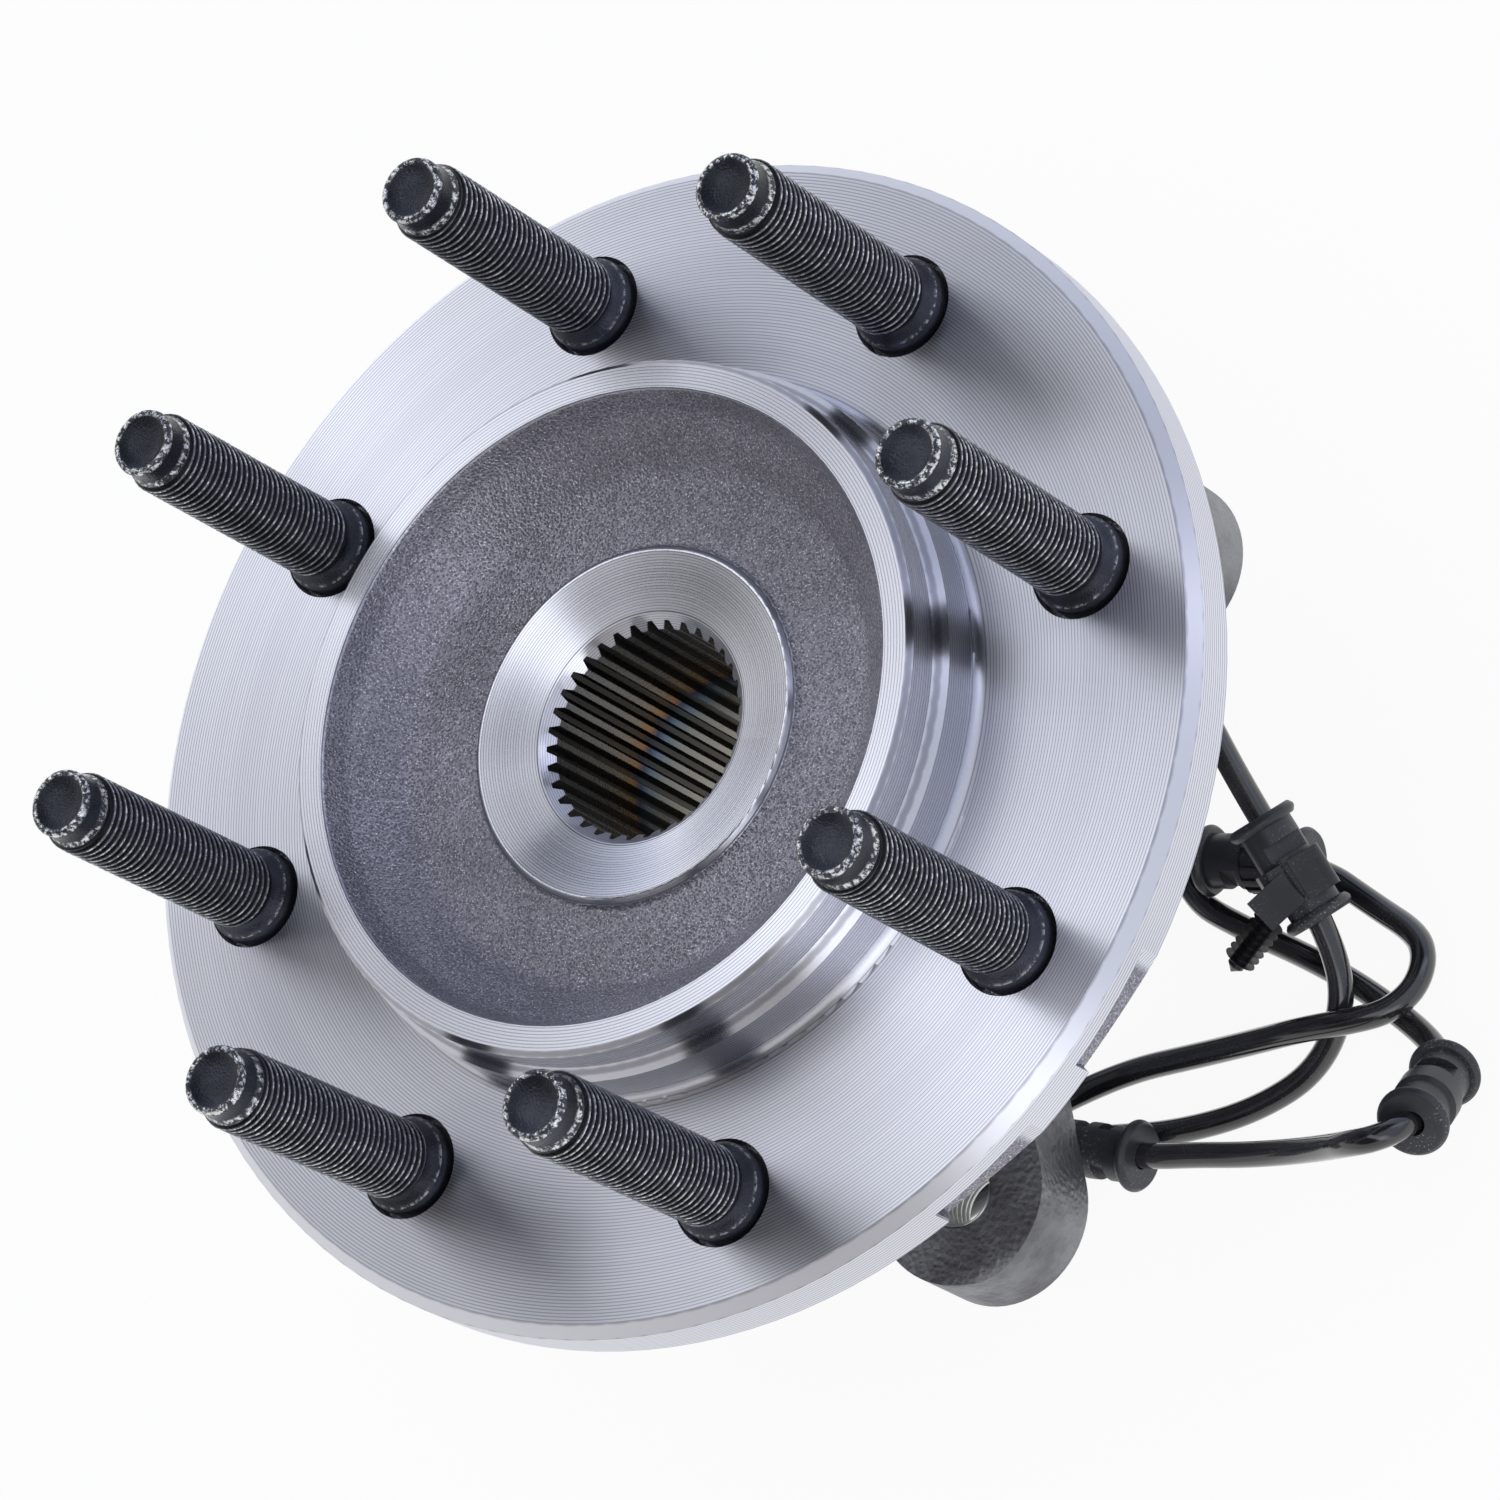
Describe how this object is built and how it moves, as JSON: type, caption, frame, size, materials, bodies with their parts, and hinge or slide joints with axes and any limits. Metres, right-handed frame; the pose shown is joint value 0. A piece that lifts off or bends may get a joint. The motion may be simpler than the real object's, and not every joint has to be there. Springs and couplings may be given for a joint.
{
  "type": "wheel hub bearing",
  "caption": "Driven wheel hub bearing unit: round flange with pressed-in studs, splined bore, eared outer ring, and a speed sensor lead with grommets and a clip.",
  "frame": {"origin": "on the hub axis, at the end face of the knuckle spigot, which the unit stands on", "axes": "+Z along the hub axis, outboard, towards the wheel; +X towards the side where the lead shows"},
  "size_m": [0.2261, 0.2052, 0.1455],
  "materials": {
    "machined_steel": "turned and ground, satin, with fine concentric tool marks",
    "phosphated_steel": "blue-black phosphate, oiled",
    "bearing_steel": "ground and polished",
    "cage_plastic": "moulded glass-filled nylon",
    "sintered_steel": "sintered, dull",
    "cast_steel": "as forged, rough, with machined faces",
    "seal_steel": "pressed sheet, satin",
    "seal_rubber": "matte",
    "sensor_plastic": "moulded, satin",
    "brass_bush": "turned",
    "zinc_steel": "zinc plated",
    "lead_jacket": "smooth, glossy",
    "grommet_rubber": "moulded, satin",
    "clip_plastic": "moulded, satin",
    "tinned_brass": "tinned"
  },
  "bodies": {
    "housing": {"outer_ring": "cast_steel", "outboard_seal_case": "seal_steel", "outboard_seal_lip": "seal_rubber", "inboard_seal_case": "seal_steel", "inboard_seal_lip": "seal_rubber", "speed_sensor": "sensor_plastic", "sensor_o_ring": "seal_rubber", "sensor_bush": "brass_bush", "sensor_screw": "zinc_steel", "sensor_lead": "lead_jacket", "clip_grommet": "grommet_rubber", "ribbed_grommet": "grommet_rubber", "leaning_grommet": "grommet_rubber", "split_grommet": "grommet_rubber", "lead_clip": "clip_plastic", "connector_body": "clip_plastic", "connector_pins": "tinned_brass", "connector_seal": "grommet_rubber"},
    "hub": {"wheel_hub": "machined_steel", "wheel_studs": "phosphated_steel", "outboard_inner_ring": "bearing_steel", "inboard_inner_ring": "bearing_steel", "tone_ring": "sintered_steel", "outboard_flinger": "seal_steel"},
    "outboard_row": {"outboard_cage": "cage_plastic", "outboard_rollers": "bearing_steel"},
    "inboard_row": {"inboard_cage": "cage_plastic", "inboard_rollers": "bearing_steel"}
  },
  "joints": [
    {"name": "hub_spin", "type": "hinge", "parent": "housing", "child": "hub", "pos_m": [0, 0, 0.042], "axis": [0, 0, 1], "continuous": true},
    {"name": "outboard_row_spin", "type": "hinge", "parent": "housing", "child": "outboard_row", "pos_m": [0, 0, 0.0575], "axis": [0, 0, 1], "continuous": true},
    {"name": "inboard_row_spin", "type": "hinge", "parent": "housing", "child": "inboard_row", "pos_m": [0, 0, 0.0265], "axis": [0, 0, 1], "continuous": true}
  ],
  "couplings": [
    {"joint": "outboard_row_spin", "follows": "hub_spin", "ratio": 0.436},
    {"joint": "inboard_row_spin", "follows": "hub_spin", "ratio": 0.436}
  ]
}
